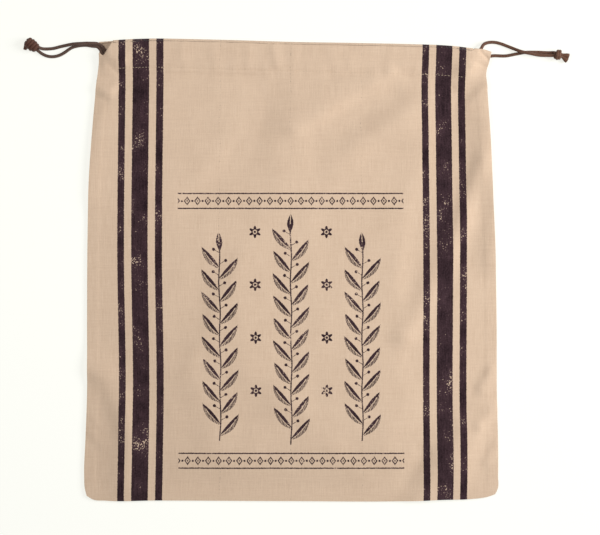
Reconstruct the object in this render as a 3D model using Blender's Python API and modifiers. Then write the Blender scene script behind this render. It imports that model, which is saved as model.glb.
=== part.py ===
# Linen bread bag, lying empty on its back with its mouth towards +Y and its face up.
#
# Two linen panels are sewn together along the sides and the bottom. Each is turned down
# at the top as a casing. Two drawcords run through both casings and turn back inside the
# far corner, and the ends of each are tied in one knot outside the near corner.
#
# Tables and sizes are in millimetres. Meshes and curves are made in metres, +Z up, with
# the origin on the surface under the middle of the bag.

import functools
import math

import bmesh
import bpy
import numpy as np

MM = 0.001
LINEN = (0.63, 0.49, 0.38)
BROWN_COTTON = (0.08, 0.045, 0.03)

# Cloth and cord.
CLOTH = 1.0  # thickness of one layer
GAP = 0.3  # clearance between pieces that lie on each other
CORD = 2.8  # diameter of a drawcord
WIDTH = 360.4  # widest, near the bottom corners
LAYER = CLOTH + GAP  # from the middle of one layer to the middle of the next
FLOOR_LAYER = CLOTH / 2  # height of the middle of the cloth that lies on the surface
CORD_ON_FLOOR = CORD / 2 + 0.05
REACH = CLOTH / 2 + GAP + CORD / 2  # from the middle of a cloth to the middle of a cord

# Edges of the bag seen from above.
SIDES = {
    "y": (-196.4, -191, -180, -148, -113, -43, 26, 78, 113, 148, 162, 171, 183, 190, 199),
    "left": (
        -178.2, -179.6, -180.2, -179.1, -177.8, -177.7, -177.3, -176.1,
        -173.8, -170.9, -169.6, -168.4, -167.1, -167.3, -167.6,
    ),
    "right": (
        177.2, 179.9, 180.2, 180.1, 179.2, 178.9, 177.5, 175.1,
        173.5, 171.1, 170.3, 169.8, 172.9, 174.2, 174.4,
    ),
}
TOP = {
    "x": (-168, -157, -144, -122, -92, -53, -1, 52, 104, 130, 143, 156, 169, 175),
    "y": (
        199.0, 199.7, 200.6, 201.4, 201.0, 200.1, 198.5, 197.6,
        196.5, 195.7, 194.7, 193.1, 191.7, 189.8,
    ),
}
BOTTOM = {
    "x": (-179, -173, -162, -118, -1, 104, 130, 156, 172, 179),
    "y": (-196.2, -199.9, -201.0, -200.9, -201.4, -201.3, -200.4, -199.7, -197.5, -195.0),
}

# The casing. Depth is measured down from the top edge.
CASING = 24.5  # to the end of the turned-down hem
CASING_END = 140  # from the middle to where the hems stop, before the corners
CORNER_LEAD = 8  # how far before that the cloth starts to follow the cords
LIP = 0.5  # the turned edge that goes on past CASING_END
BODY_TOP = 36  # depth at which the cloth has come down from the casing
FOLD_MOUTH = {"left": -154.9, "right": 158.6}  # where the front casing's fold opens
NOTCH = {  # the open corner of the front panel, at the left
    "x": (-169, -167, -164.2, -162.6, -154.9, -150),
    "drop": (12.6, 13.2, 15.6, 13.8, 0, 0),
}
LANES = {"right_front": 3.3, "left_front": 7.0, "right_back": 15.6, "left_back": 19.3}

# Heights of the middle of each layer of the casing. A layer rises to "high" over the
# cords under it and comes down again before the line of stitching.
BACK_CORD = CLOTH + GAP + CORD / 2
BACK_LOW = FLOOR_LAYER + LAYER
BACK_HIGH = BACK_CORD + REACH
FRONT_CORD = BACK_LOW + LAYER + REACH
CASING_TOP = FRONT_CORD + REACH
SECTION = {
    "back_hem": {
        "low": BACK_LOW, "high": BACK_HIGH, "rise": (8.6, 13.6), "fall": (20.3, 24.3),
    },
    "front_hem": {
        "low": BACK_LOW + LAYER, "high": BACK_HIGH + LAYER, "rise": (8.0, 13.0), "fall": (20.9, 24.9),
    },
    "front": {
        "low": BACK_LOW + 2 * LAYER, "high": CASING_TOP, "rise": (-2, -1), "fall": (21.6, 25.8),
    },
}
CROSSING = BACK_CORD + CORD + GAP  # height of a cord that passes over another one

# Cloth over a cord in a corner lies this far above its middle, is level as far aside as its
# shoulder, and then falls away. Between the cords the cloth is drawn taut.
DRAPE = REACH + 0.45
SHOULDER = 2.9
SLOPE = math.tan(math.radians(48))
HEM_SLOPE = 0.35  # of the cloth on its way down from the end of the hem to the body
TAUT_ROUNDS = 16
SOFT_ROUNDS = 2

# The empty bag holds a little air, and its front has soft folds. Height is that of a
# ridge, or below zero that of a trough.
LOFT = 2.4
SEAM_FADE = 26  # from a seam to where the loft is whole
FOLDS = (
    # from x, from y, to x, to y, half width, height
    (104, 157, 34, 87, 12, -2.0),
    (90, 168, 12, 92, 9, 1.2),
    (58, 155, 22, 122, 8, 2.0),
    (-4, 160, -30, 92, 9, -1.8),
    (16, 158, -10, 98, 8, 1.4),
    (-58, 156, -92, 70, 14, 1.0),
    (166, 116, 157, 78, 7, -1.6),
    (160, 62, 150, 26, 9, 1.5),
    (172, -84, 152, -106, 6, -1.6),
    (176, -100, 148, -118, 6, 1.5),
    (172, -124, 144, -134, 6, -1.3),
    (162, -148, 146, -170, 9, 1.5),
    (-172, -94, -152, -128, 6, 1.8),
    (-176, -108, -160, -140, 6, -1.4),
    (34, -124, -12, -144, 11, -1.6),
    (60, -96, -20, -120, 14, 1.0),
    (-46, -30, 70, -66, 18, 1.0),
)

# Free ends and corners of the drawcords, by hand: x, y, z from the knot to the casing.
LEFT_UPPER = (
    (-220.4, 194.0, 3.9),
    (-218.0, 192.9, 3.1),
    (-214.9, 192.5, 2.0),
    (-211.1, 192.6, CORD_ON_FLOOR),
    (-206.7, 193.1, CORD_ON_FLOOR),
    (-202.4, 194.2, CORD_ON_FLOOR),
    (-197.9, 195.2, 1.9),
    (-193.4, 196.0, 3.0),
    (-189.0, 196.6, 4.0),
    (-183.7, 196.9, 4.2),
    (-178.5, 197.2, 4.2),
    (-173.7, 197.2, 3.9),
    (-169.6, 196.8, BACK_CORD),
    (-165.0, 193.2, BACK_CORD),
    (-161.6, 189.4, BACK_CORD),
    (-156.4, 187.2, BACK_CORD),
    (-150.0, 188.6, 3.3),
    (-144.5, 191.6, 4.9),
)
LEFT_LOWER = (
    (-221.2, 191.5, 2.2),
    (-218.7, 189.4, 1.6),
    (-215.8, 187.6, CORD_ON_FLOOR),
    (-212.0, 186.2, CORD_ON_FLOOR),
    (-207.6, 185.8, CORD_ON_FLOOR),
    (-203.2, 186.6, CORD_ON_FLOOR),
    (-199.3, 188.3, CORD_ON_FLOOR),
    (-195.4, 190.9, CORD_ON_FLOOR),
    (-191.5, 193.5, CORD_ON_FLOOR),
    (-186.7, 195.0, CORD_ON_FLOOR),
    (-181.4, 195.7, CORD_ON_FLOOR),
    (-177.1, 195.7, CORD_ON_FLOOR),
    (-173.1, 194.6, 1.8),
    (-170.0, 192.8, BACK_CORD),
    (-166.2, 189.2, BACK_CORD),
    (-162.4, 185.2, BACK_CORD),
    (-156.6, 182.0, BACK_CORD),
    (-149.6, 181.0, BACK_CORD),
)
RIGHT_UPPER = (
    (227.5, 186.5, 3.9),
    (221.9, 186.6, 3.5),
    (216.7, 186.8, 3.5),
    (211.4, 187.6, 4.0),
    (206.5, 188.5, 4.65),
    (201.8, 189.5, 4.65),
    (197.5, 191.0, 3.7),
    (192.9, 193.1, 1.9),
    (187.3, 195.4, CORD_ON_FLOOR),
    (181.7, 197.4, CORD_ON_FLOOR),
    (176.0, 198.4, CORD_ON_FLOOR),
    (171.2, 197.9, 1.9),
    (167.4, 195.9, 3.1),
    (165.5, 192.8, 4.3),
    (162.8, 190.6, 5.1),
    (157.2, 189.7, FRONT_CORD),
)
RIGHT_LOWER = (
    (227.8, 189.3, 1.9),
    (222.2, 189.3, CORD_ON_FLOOR),
    (217.0, 189.6, CORD_ON_FLOOR),
    (210.9, 189.7, CORD_ON_FLOOR),
    (204.8, 189.6, CORD_ON_FLOOR),
    (199.1, 188.7, CORD_ON_FLOOR),
    (193.0, 187.5, CORD_ON_FLOOR),
    (187.3, 186.5, CORD_ON_FLOOR),
    (181.2, 186.5, 1.7),
    (174.8, 186.3, BACK_CORD),
    (168.8, 184.6, BACK_CORD),
    (162.6, 181.6, BACK_CORD),
    (156.0, 179.4, BACK_CORD),
    (148.6, 178.8, BACK_CORD),
)
LANE_STEP = 56  # between the points of a straight run
READS = 2  # points read from the smooth curve for each point of a route
TURN = {  # a cord turning back in a corner, from the front casing into the back one
    "centre": 150,  # from the middle of the bag
    "lead": 4,  # how far before the centre the cord starts to rise
    "lift": 0.2,
    "degrees": (72, 36, 0, -36, -72),
    "way down": ((3.0, 5.3), (7.0, 3.5)),  # how far past the centre, height
}

KNOTS = {  # a tail is its length and how far it turns from the knot's heading
    "left": {
        "at": (-226.3, 196.3, 4.4), "heading": 143, "length": 9.6, "width": 9.6,
        "height": 8.2, "waist": 1.0, "tails": ((1.6, -8), (4.6, 84)),
    },
    "right": {
        "at": (232.3, 187.0, 4.2), "heading": -8, "length": 6.6, "width": 9.2,
        "height": 8.0, "waist": 0.75, "tails": ((5.6, -44), (6.4, 10)),
    },
}

STRAND = CORD / 2 * 0.92  # radius of a strand pulled tight in a knot
WRAP_PITCH = 1.9  # strand radii from one turn of a knot to the next
KNOT_VOXEL = 0.42
KNOT_KEPT = 0.11  # share of the faces left

# Grid stations of the front panel, in millimetres in from its side edges near the top.
LEFT_COLUMNS = (0, 1.6, 3.2, 4.9, 7.4, 10.0, 12.5, 15.4, 19.0, 23.0, 27.4)
RIGHT_COLUMNS = (0, 2.8, 5.8, 9.0, 12.2, 15.4, 18.6, 22.4, 26.4, 30.4, 34.2)
TOP_WIDTH = 341.8
FRONT_MIDDLE_COLUMNS = 18
BACK_MIDDLE_COLUMNS = 10
BACK_CASING_ROWS = (4.8, 14.8, 24.2, BODY_TOP)
FRONT_CASING_ROWS = (
    4.8, 7.0, 9.6, 12.2, 14.8, 17.4, 19.6, 21.4, 22.8, 24.2, 26.0, 28.6, 32.0, BODY_TOP,
)
FRONT_BODY_ROWS = 22
BACK_BODY_ROWS = 7
FOLD_ANGLES = (90, 130, 180, 230, 270)
HEM_ROWS = (5.4, 7.9, 9.2, 10.4, 11.6, 13.0, 16.0, 19.0, 20.6, 21.8, 23.0, 24.0, CASING)


def eased(share):
    """0 to 1 with a level start and end."""
    share = np.clip(share, 0, 1)
    return share * share * (3 - 2 * share)


def read_curve(xs, ys, at):
    """A smooth curve through a table's points, read at one place."""
    xs = np.asarray(xs, float)
    ys = np.asarray(ys, float)
    slopes = np.gradient(ys, xs)
    k = int(np.clip(np.searchsorted(xs, at) - 1, 0, len(xs) - 2))
    step = xs[k + 1] - xs[k]
    t = float(np.clip((at - xs[k]) / step, 0, 1))
    rise = (2 * t**3 - 3 * t**2 + 1) * ys[k] + (3 * t**2 - 2 * t**3) * ys[k + 1]
    return rise + step * ((t**3 - 2 * t**2 + t) * slopes[k] + (t**3 - t**2) * slopes[k + 1])


def top_edge(x):
    return read_curve(TOP["x"], TOP["y"], x)


def smooth_route(points):
    """Points along the natural cubic curve through a route's own points."""
    points = np.asarray(points, float)
    chords = np.linalg.norm(np.diff(points, axis=0), axis=1)
    along = np.concatenate([[0], np.cumsum(chords)])
    n = len(points)
    system = np.eye(n)
    bend = np.zeros((n, 3))
    for i in range(1, n - 1):
        system[i, i - 1] = chords[i - 1]
        system[i, i] = 2 * (chords[i - 1] + chords[i])
        system[i, i + 1] = chords[i]
        ahead = (points[i + 1] - points[i]) / chords[i]
        behind = (points[i] - points[i - 1]) / chords[i - 1]
        bend[i] = 6 * (ahead - behind)
    bend = np.linalg.solve(system, bend)
    found = []
    for i, step in enumerate(chords):
        reads = READS if step < LANE_STEP / 2 else 1
        for t in np.arange(reads) / reads * step:
            left = step - t
            straight = (points[i] * left + points[i + 1] * t) / step
            before = bend[i] * (left**3 / step - step * left)
            after = bend[i + 1] * (t**3 / step - step * t)
            found.append(straight + (before + after) / 6)
    return np.array([*found, points[-1]])


def lane(name, height, start, end):
    """Points of a straight run inside the casing, from one x to another."""
    count = round(abs(end - start) / LANE_STEP) + 1
    return [(x, top_edge(x) - LANES[name], height) for x in np.linspace(start, end, count)]


def turn(side, front, back):
    """Points where a cord turns back from the front casing into the back one."""
    centre = side * TURN["centre"]
    high = top_edge(centre) - LANES[front]
    low = top_edge(centre) - LANES[back]
    radius = (high - low) / 2
    points = [(centre - side * TURN["lead"], high, FRONT_CORD + TURN["lift"])]
    for degrees in TURN["degrees"]:
        angle = math.radians(degrees)
        x = centre + side * radius * math.cos(angle)
        points.append((x, low + radius + radius * math.sin(angle), CROSSING))
    for past, height in TURN["way down"]:
        x = centre - side * past
        points.append((x, top_edge(x) - LANES[back], height))
    return points


def cord_routes():
    """The whole route of each drawcord, from its knot and back to it."""
    ends = CASING_END - 1
    left = [
        *LEFT_UPPER,
        *lane("left_front", FRONT_CORD, -ends, ends),
        *turn(1, "left_front", "left_back"),
        *lane("left_back", BACK_CORD, ends, -ends),
        *reversed(LEFT_LOWER),
    ]
    right = [
        *RIGHT_UPPER,
        *lane("right_front", FRONT_CORD, ends, -ends),
        *turn(-1, "right_front", "right_back"),
        *lane("right_back", BACK_CORD, -ends, ends),
        *reversed(RIGHT_LOWER),
    ]
    return {"left": smooth_route(left), "right": smooth_route(right)}


def dense(line, step=1.0):
    """The same line with a point every millimetre."""
    found = []
    for a, b in zip(line[:-1], line[1:]):
        count = max(1, int(np.linalg.norm(b - a) / step))
        found += [a + (b - a) * k / count for k in range(count)]
    return np.array([*found, line[-1]])


def layer_height(name, depth):
    """Height of the middle of a layer of the casing."""
    section = SECTION[name]
    rise = eased((depth - section["rise"][0]) / (section["rise"][1] - section["rise"][0]))
    fall = eased((depth - section["fall"][0]) / (section["fall"][1] - section["fall"][0]))
    return section["low"] + (section["high"] - section["low"]) * (rise - fall)


def fold_height(x, y):
    """What the folds add at a place."""
    total = 0
    for from_x, from_y, to_x, to_y, width, height in FOLDS:
        run = np.array([to_x - from_x, to_y - from_y], float)
        out = np.array([x - from_x, y - from_y], float)
        share = out @ run / (run @ run)
        aside = np.linalg.norm(out - run * np.clip(share, 0, 1))
        total += height * math.exp(-((aside / width) ** 2))
    return total


def front_height(x, y, draped):
    """Height of the middle of the front's outer layer. draped holds the cords in the corners."""
    depth = top_edge(x) - y
    left = read_curve(SIDES["y"], SIDES["left"], y)
    right = read_curve(SIDES["y"], SIDES["right"], y)
    bottom = read_curve(BOTTOM["x"], BOTTOM["y"], x)
    inside = min(x - left, right - x, y - bottom)
    body = BACK_LOW + eased(inside / SEAM_FADE) * max(0.05, LOFT + fold_height(x, y))
    past_end = max(0, abs(x) - CASING_END - 2)
    past_hem = max(0, depth - CASING - 0.8)
    casing = layer_height("front", depth) - SLOPE * past_end - HEM_SLOPE * past_hem
    aside = np.hypot(draped[:, 0] - x, draped[:, 1] - y)
    over_cords = draped[:, 2] + DRAPE - SLOPE * np.maximum(0, aside - SHOULDER)
    return max(body, casing, over_cords.max())


def sheet(name, column_count, row_count, place, kept):
    """A sheet of cloth from a flat grid. place gives a grid point's place, kept says which cells stay."""
    mesh = bpy.data.meshes.new(name)
    cloth = bmesh.new()
    bmesh.ops.create_grid(cloth, x_segments=column_count - 1, y_segments=row_count - 1, size=1)
    stations = {}
    for vert in cloth.verts:
        column = round((vert.co.x + 1) / 2 * (column_count - 1))
        row = round((vert.co.y + 1) / 2 * (row_count - 1))
        stations[vert] = (column, row)
    removed = []
    for face in cloth.faces:
        column = min(stations[vert][0] for vert in face.verts)
        row = min(stations[vert][1] for vert in face.verts)
        if not kept(column, row):
            removed.append(face)
    for vert, (column, row) in stations.items():
        vert.co = [value * MM for value in place(column, row)]
    bmesh.ops.delete(cloth, geom=removed, context="FACES")
    cloth.to_mesh(mesh)
    cloth.free()
    obj = bpy.data.objects.new(name, mesh)
    thickness = obj.modifiers.new("cloth thickness", "SOLIDIFY")
    thickness.thickness = CLOTH * MM
    thickness.offset = 0
    thickness.use_even_offset = True
    return obj


def column_shares(middle_columns):
    """Where the grid's columns are, from 0 at the left edge to 1 at the right one."""
    left = np.array(LEFT_COLUMNS) / TOP_WIDTH
    right = 1 - np.array(RIGHT_COLUMNS[::-1]) / TOP_WIDTH
    middle = np.linspace(left[-1], right[0], middle_columns + 1)[1:-1]
    return np.concatenate([left, middle, right])


def on_outline(share, depth=None, height_share=None):
    """Where a point of the flat panel lies: so far down from the top, or so far up the body."""
    x = (share - 0.5) * WIDTH
    for _ in range(4):
        top = top_edge(x)
        bottom = read_curve(BOTTOM["x"], BOTTOM["y"], x)
        if depth is not None:
            y = top - depth
        else:
            y = bottom + height_share * (top - BODY_TOP - bottom)
        left = read_curve(SIDES["y"], SIDES["left"], y)
        right = read_curve(SIDES["y"], SIDES["right"], y)
        x = left + (right - left) * share
    return x, y


def around(heights):
    """The mean of the four heights round each one of a grid."""
    padded = np.pad(heights, 1, mode="edge")
    return (padded[2:, 1:-1] + padded[:-2, 1:-1] + padded[1:-1, 2:] + padded[1:-1, :-2]) / 4


def drawn_taut(heights, free):
    """Heights of a grid of cloth, pulled smooth where it is free and not below what holds it up."""
    held_up = heights.copy()
    for _ in range(TAUT_ROUNDS):
        heights = np.where(free, np.maximum(held_up, around(heights)), heights)
    for _ in range(SOFT_ROUNDS):
        heights = np.where(free, (heights + around(heights)) / 2, heights)
    return heights


def panel(name, columns, casing_rows, body_rows, outer_height, hem, mouth, drops):
    """A panel with its casing: up the outer layer, round the fold at the top and down the hem."""
    shares = column_shares(columns)
    body = [("body", k / body_rows) for k in range(body_rows)]
    outer = [("outer", depth) for depth in reversed(casing_rows)]
    folded = [("fold", degrees) for degrees in FOLD_ANGLES]
    turned = [("lip", LIP)] + [("hem", depth) for depth in HEM_ROWS]
    rows = body + outer + folded + turned
    edge = CLOTH / 2

    hem_low = layer_height(hem, CLOTH)

    @functools.cache
    def fold_size(share):
        """Where the casing's fold is across the bag, and the radius that it is rolled to."""
        x, y = on_outline(share, depth=CLOTH)
        return x, (outer_height(x, y) - hem_low) / 2

    def is_open(x):
        return not mouth["left"] - 0.5 < x < mouth["right"] + 0.5

    def outer_place(column, row):
        share = shares[column]
        kind, value = rows[row]
        if kind == "body":
            return on_outline(share, height_share=value)
        x, radius = fold_size(share)
        drop = drops(x)
        if kind == "outer":
            return on_outline(share, depth=drop + value * (BODY_TOP - drop) / BODY_TOP)
        return on_outline(share, depth=edge + (drop if is_open(x) else abs(radius)))

    def is_corner(x, y):
        return abs(x) > CASING_END - CORNER_LEAD and top_edge(x) - y < BODY_TOP

    outer_rows = range(len(body) + len(outer) + 1)
    flat = [[outer_place(column, row) for column in range(len(shares))] for row in outer_rows]
    heights = np.array([[outer_height(x, y) for x, y in line] for line in flat])
    free = np.array([[is_corner(x, y) for x, y in line] for line in flat])
    heights = drawn_taut(heights, free)

    def place(column, row):
        share = shares[column]
        kind, value = rows[row]
        if kind in ("body", "outer"):
            return (*flat[row][column], heights[row, column])
        x, radius = fold_size(share)
        if kind == "fold" and (is_open(x) or value == FOLD_ANGLES[0]):
            return (*flat[-1][column], heights[-1, column])
        if kind == "fold":
            angle = math.radians(value)
            x, y = on_outline(share, depth=edge + abs(radius) * (1 + math.cos(angle)))
            return x, y, hem_low + radius + radius * math.sin(angle)
        depth = edge + abs(radius) + value if kind == "lip" else value
        x, y = on_outline(share, depth=depth)
        return x, y, layer_height(hem, depth)

    def kept(column, row):
        xs = [fold_size(shares[column + k])[0] for k in (0, 1)]
        kinds = {rows[row][0], rows[row + 1][0]}
        if kinds <= {"body", "outer"} or kinds == {"outer", "fold"}:
            return True
        if "hem" in kinds:
            return max(abs(x) for x in xs) < CASING_END + 0.5
        return min(xs) > mouth["left"] - 0.5 and max(xs) < mouth["right"] + 0.5

    return sheet(name, len(shares), len(rows), place, kept)


def front_panel(draped):
    def drops(x):
        return float(np.interp(x, NOTCH["x"], NOTCH["drop"]))

    def height(x, y):
        return front_height(x, y, draped)

    return panel(
        "front_panel", FRONT_MIDDLE_COLUMNS, FRONT_CASING_ROWS, FRONT_BODY_ROWS, height,
        "front_hem", FOLD_MOUTH, drops,
    )


def back_panel():
    def height(x, y):
        return FLOOR_LAYER

    def drops(x):
        return 0

    whole = {"left": -WIDTH, "right": WIDTH}
    return panel(
        "back_panel", BACK_MIDDLE_COLUMNS, BACK_CASING_ROWS, BACK_BODY_ROWS, height,
        "back_hem", whole, drops,
    )


def tube(name, lines, radius):
    """A curve object with one round strand for each line."""
    data = bpy.data.curves.new(name, "CURVE")
    data.dimensions = "3D"
    data.bevel_depth = radius * MM
    data.bevel_resolution = 2
    data.use_fill_caps = True
    for line in lines:
        spline = data.splines.new("POLY")
        spline.points.add(len(line) - 1)
        for point, place in zip(spline.points, line):
            point.co = (*(value * MM for value in place), 1)
    return bpy.data.objects.new(name, data)


def knot_strands(size, cord_ends):
    """Lines for a knot: both ends of the cord through it and out as tails, and the turns round them."""
    heading = math.radians(size["heading"])
    ahead = np.array([math.cos(heading), math.sin(heading), 0])
    aside = np.array([-ahead[1], ahead[0], 0])
    up = np.array([0, 0, 1.0])
    centre = np.array(size["at"])
    lines = []
    for (end, before), (tail_length, tail_turn) in zip(cord_ends, size["tails"]):
        end = np.array(end)
        into = (end - np.array(before)) / np.linalg.norm(end - np.array(before))
        side = math.copysign(1, (end - centre) @ aside)
        beside = aside * side * STRAND
        bend = math.radians(tail_turn)
        tail_start = centre + ahead * size["length"] * 0.4 + beside * size["waist"] - up * STRAND / 2
        tail = tail_start + (ahead * math.cos(bend) + aside * math.sin(bend)) * tail_length
        tail[2] = CORD_ON_FLOOR
        lines.append(
            [
                end + into * GAP,
                end + into * STRAND,
                centre - ahead * size["length"] * 0.25 + beside,
                centre + ahead * size["length"] * 0.2 + beside,
                tail_start,
                tail,
            ]
        )
    run = size["length"] - 2 * STRAND
    turns = run / (WRAP_PITCH * STRAND)
    wrap = []
    for share in np.linspace(0, 1, 12 * math.ceil(turns)):
        angle = 2 * math.pi * turns * share
        out = aside * (size["width"] / 2 - STRAND) * math.cos(angle)
        raised = up * (size["height"] / 2 - STRAND) * math.sin(angle)
        wrap.append(centre + ahead * (share - 0.5) * run + out + raised)
    return [*lines, wrap]


def knot(name, size, cord_ends):
    """The two ends of a cord tied in one knot, as one body."""
    guide = tube(name + " strands", knot_strands(size, cord_ends), STRAND)
    bpy.context.scene.collection.objects.link(guide)
    evaluated = guide.evaluated_get(bpy.context.evaluated_depsgraph_get())
    mesh = bpy.data.meshes.new_from_object(evaluated)
    bpy.data.objects.remove(guide)
    mesh.name = name
    obj = bpy.data.objects.new(name, mesh)
    joined = obj.modifiers.new("strands pulled together", "REMESH")
    joined.mode = "VOXEL"
    joined.voxel_size = KNOT_VOXEL * MM
    joined.use_smooth_shade = True
    fewer = obj.modifiers.new("fewer faces", "DECIMATE")
    fewer.ratio = KNOT_KEPT
    return obj


def finish(name, colour):
    material = bpy.data.materials.new(name)
    material.use_nodes = True
    shader = material.node_tree.nodes["Principled BSDF"]
    shader.inputs["Base Color"].default_value = (*colour, 1)
    shader.inputs["Roughness"].default_value = 0.85
    shader.inputs["Metallic"].default_value = 0
    return material


def main():
    for obj in list(bpy.data.objects):
        bpy.data.objects.remove(obj)
    parts = bpy.data.collections.new("linen_bread_bag")
    bpy.context.scene.collection.children.link(parts)
    routes = cord_routes()
    everywhere = np.concatenate([dense(route) for route in routes.values()])
    draped = everywhere[np.abs(everywhere[:, 0]) > CASING_END - 4]
    ends = {"left": (LEFT_UPPER[:2], LEFT_LOWER[:2]), "right": (RIGHT_UPPER[:2], RIGHT_LOWER[:2])}
    pieces = [(front_panel(draped), LINEN), (back_panel(), LINEN)]
    for side, route in routes.items():
        pieces.append((tube(side + "_drawcord", [route], CORD / 2), BROWN_COTTON))
        pieces.append((knot(side + "_knot", KNOTS[side], ends[side]), BROWN_COTTON))
    for obj, colour in pieces:
        obj.data.materials.append(finish(obj.name + " finish", colour))
        parts.objects.link(obj)


main()
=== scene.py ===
# Linen bread bag, lying empty on its back: cloth, print, stitches, cords and knots round
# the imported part. Tables are in millimetres, in the part's own frame. Meshes are in metres.

import math

import bmesh
import bpy
import numpy as np
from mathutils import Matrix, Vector


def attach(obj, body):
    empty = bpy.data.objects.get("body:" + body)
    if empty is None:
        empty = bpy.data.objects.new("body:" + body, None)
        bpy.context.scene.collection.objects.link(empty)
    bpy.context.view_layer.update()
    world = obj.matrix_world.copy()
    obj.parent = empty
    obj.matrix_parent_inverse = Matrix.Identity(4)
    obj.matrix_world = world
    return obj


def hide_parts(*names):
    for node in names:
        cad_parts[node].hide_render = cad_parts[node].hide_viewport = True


mm = 0.001

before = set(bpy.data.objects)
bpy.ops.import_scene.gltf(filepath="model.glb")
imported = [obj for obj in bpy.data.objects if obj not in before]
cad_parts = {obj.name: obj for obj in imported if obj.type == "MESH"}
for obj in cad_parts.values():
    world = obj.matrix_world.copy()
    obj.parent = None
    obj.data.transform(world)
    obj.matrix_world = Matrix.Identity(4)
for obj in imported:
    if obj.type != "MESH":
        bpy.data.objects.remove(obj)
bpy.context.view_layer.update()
print("part loaded:", sorted(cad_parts))

# The view from above, then the cords.
cameraView = {"lens": 100, "sensor": 36, "width": 523.6, "centre": (7.74, 2.03)}


def addCamera(view):
    data = bpy.data.cameras.new("viewFromAbove")
    data.lens = view["lens"]
    data.sensor_width = view["sensor"]
    camera = bpy.data.objects.new("viewFromAbove", data)
    height = view["width"] * view["lens"] / view["sensor"]
    camera.location = (view["centre"][0] * mm, view["centre"][1] * mm, height * mm)
    bpy.context.scene.collection.objects.link(camera)
    bpy.context.scene.camera = camera


addCamera(cameraView)

# Sizes shared by the cloth and the cords.
cloth = {
    "solid": 1.0,  # thickness that the layers are spaced for
    "thickness": 0.55,  # of the linen itself
    "gap": 0.3,
    "cord": 2.8,
    "clear": 0.05,  # between a cord and what it lies on
    "width": 360.4,
    "loft": 2.4,  # height of the air in the bag
    "leastLoft": 0.05,
    "sideFade": 95,  # over which it falls to the sides
    "bottomFade": 50,
}
layer = cloth["solid"] + cloth["gap"]
floorLayer = cloth["solid"] / 2
onFloor = cloth["cord"] / 2 + cloth["clear"]
reach = cloth["solid"] / 2 + cloth["gap"] + cloth["cord"] / 2
backCord = cloth["solid"] + cloth["gap"] + cloth["cord"] / 2
backLow = floorLayer + layer
frontCord = backLow + layer + reach
crossing = backCord + cloth["cord"] + cloth["gap"]

outline = {
    "sides": {
        "y": (-196.4, -191, -180, -148, -113, -43, 26, 78, 113, 148, 162, 171, 183, 190, 199),
        "left": (
            -178.2, -179.6, -180.2, -179.1, -177.8, -177.7, -177.3, -176.1,
            -173.8, -170.9, -169.6, -168.4, -167.1, -167.3, -167.6,
        ),
        "right": (
            177.2, 179.9, 180.2, 180.1, 179.2, 178.9, 177.5, 175.1,
            173.5, 171.1, 170.3, 169.8, 172.9, 174.2, 174.4,
        ),
    },
    "top": {
        "x": (-168, -157, -144, -122, -92, -53, -1, 52, 104, 130, 143, 156, 169, 175),
        "y": (
            199.0, 199.7, 200.6, 201.4, 201.0, 200.1, 198.5, 197.6,
            196.5, 195.7, 194.7, 193.1, 191.7, 189.8,
        ),
    },
    "bottom": {
        "x": (-179, -173, -162, -118, -1, 104, 130, 156, 172, 179),
        "y": (-196.2, -199.9, -201.0, -200.9, -201.4, -201.3, -200.4, -199.7, -197.5, -195.0),
    },
}

casing = {
    "depth": 27,  # to the end of the turned-down hem
    "stitch": 25.7,  # to the row of stitches, at the middle
    "slant": 0.005,  # of that row, deeper to the right
    "end": 140,  # from the middle to where the hems stop
    "cornerLead": 8,
    "lip": 0.5,
    "hemStart": 5.4,
    "bodyTop": 36,  # depth where the body's rows start
    "mouth": {"left": -154.9, "right": 158.6},
    "notch": {
        "x": (-169, -167, -164.2, -162.6, -154.9, -150),
        "drop": (9.4, 10.0, 12.4, 11.4, 0, 0),
    },
    "lanes": {"rightFront": 3.3, "leftFront": 7.0, "rightBack": 15.6, "leftBack": 19.3},
    "section": {
        # height of the middle of each layer, at depths below the top edge
        "backHem": {
            "depth": (0, 8.6, 11, 13.6, 20.3, 22.5, 24.5, 27),
            "height": (1.8, 1.8, 3.1, 4.4, 4.4, 3.3, 2.7, 2.5),
        },
        "frontHem": {
            "depth": (0, 8.0, 10.5, 13, 20.5, 22.5, 24.5, 27),
            "height": (3.1, 3.1, 4.1, 5.05, 5.05, 4.1, 3.5, 3.3),
        },
        "front": {
            "depth": (0, 4, 8.6, 12, 16, 20, 23, 26, 29, 32),
            "height": (7.05, 7.05, 7.0, 6.5, 6.0, 5.65, 5.15, 4.6, 4.25, 4.1),
        },
    },
}


def eased(share):
    share = np.clip(share, 0, 1)
    return share * share * (3 - 2 * share)


def readCurve(xs, ys, at):
    # a smooth curve through a table's points, read at one or many places
    xs = np.asarray(xs, float)
    ys = np.asarray(ys, float)
    slopes = np.gradient(ys, xs)
    k = np.clip(np.searchsorted(xs, at) - 1, 0, len(xs) - 2)
    step = xs[k + 1] - xs[k]
    t = np.clip((at - xs[k]) / step, 0, 1)
    rise = (2 * t**3 - 3 * t**2 + 1) * ys[k] + (3 * t**2 - 2 * t**3) * ys[k + 1]
    return rise + step * ((t**3 - 2 * t**2 + t) * slopes[k] + (t**3 - t**2) * slopes[k + 1])


def topEdge(x):
    return readCurve(outline["top"]["x"], outline["top"]["y"], x)


def stitchDepth(x):
    return casing["stitch"] + casing["slant"] * x


def sideEdge(side, y):
    return readCurve(outline["sides"]["y"], outline["sides"][side], y)


def bottomEdge(x):
    return readCurve(outline["bottom"]["x"], outline["bottom"]["y"], x)


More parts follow.
